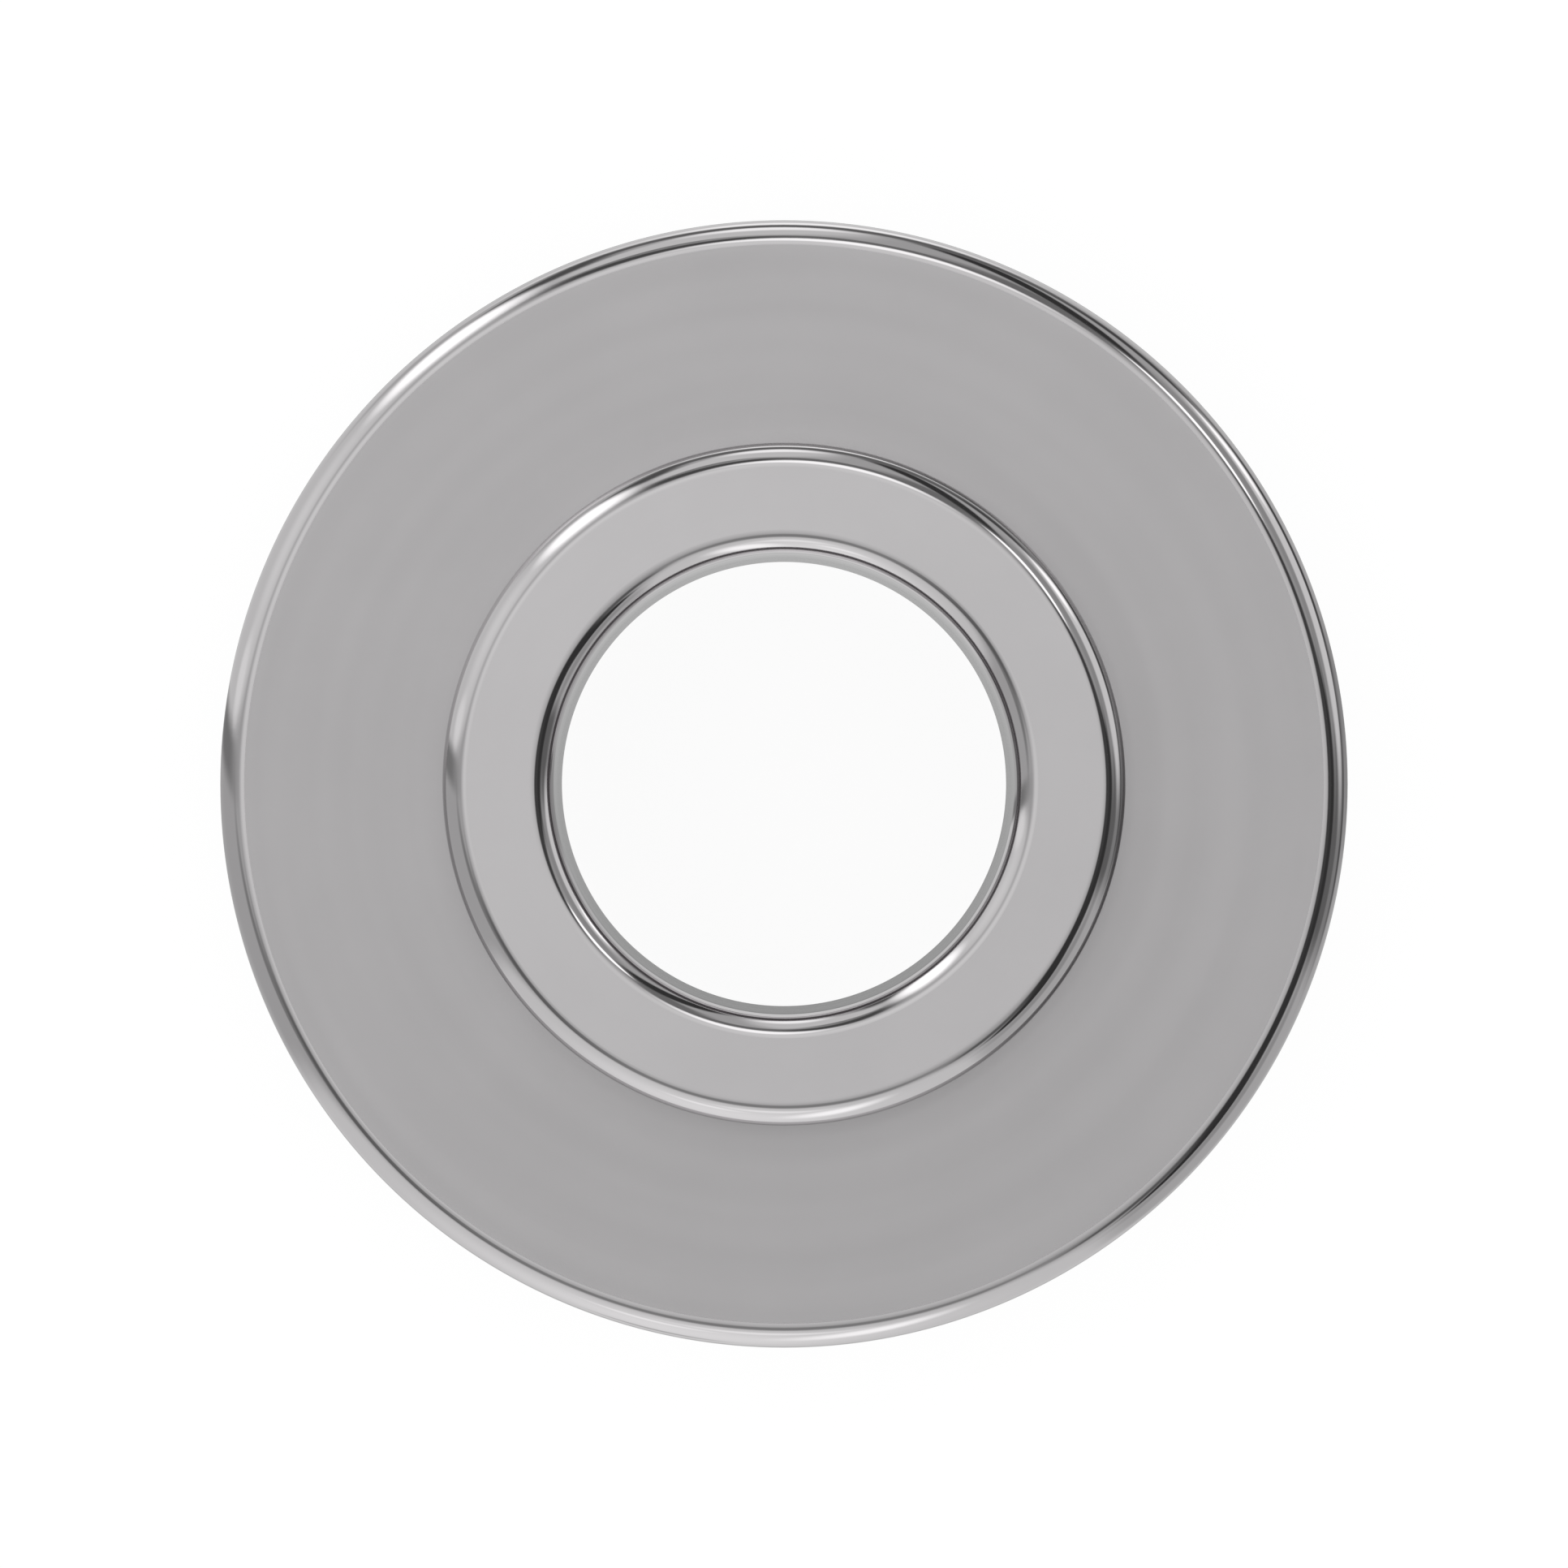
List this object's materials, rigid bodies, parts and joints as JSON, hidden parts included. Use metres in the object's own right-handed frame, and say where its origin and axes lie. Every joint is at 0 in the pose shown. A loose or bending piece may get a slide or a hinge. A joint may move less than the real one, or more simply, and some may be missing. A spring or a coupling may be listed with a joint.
{
  "type": "flat washer",
  "caption": "Thick round washer with a rounded rim and a raised central collar, formed by a shouldered bush pressed into a wide flat plate.",
  "frame": {"origin": "middle of the flat underside that bears on the work, on the washer's axis", "axes": "+Z along the washer's axis, towards the raised collar"},
  "size_m": [0.033, 0.033, 0.0105],
  "materials": {
    "plate_steel": "finely faced flat sides with a polished round on every edge",
    "bush_steel": "bright turned steel with a polished round on every edge"
  },
  "bodies": {
    "root": {"flange_plate": "plate_steel", "hub_bush": "bush_steel"}
  },
  "joints": []
}
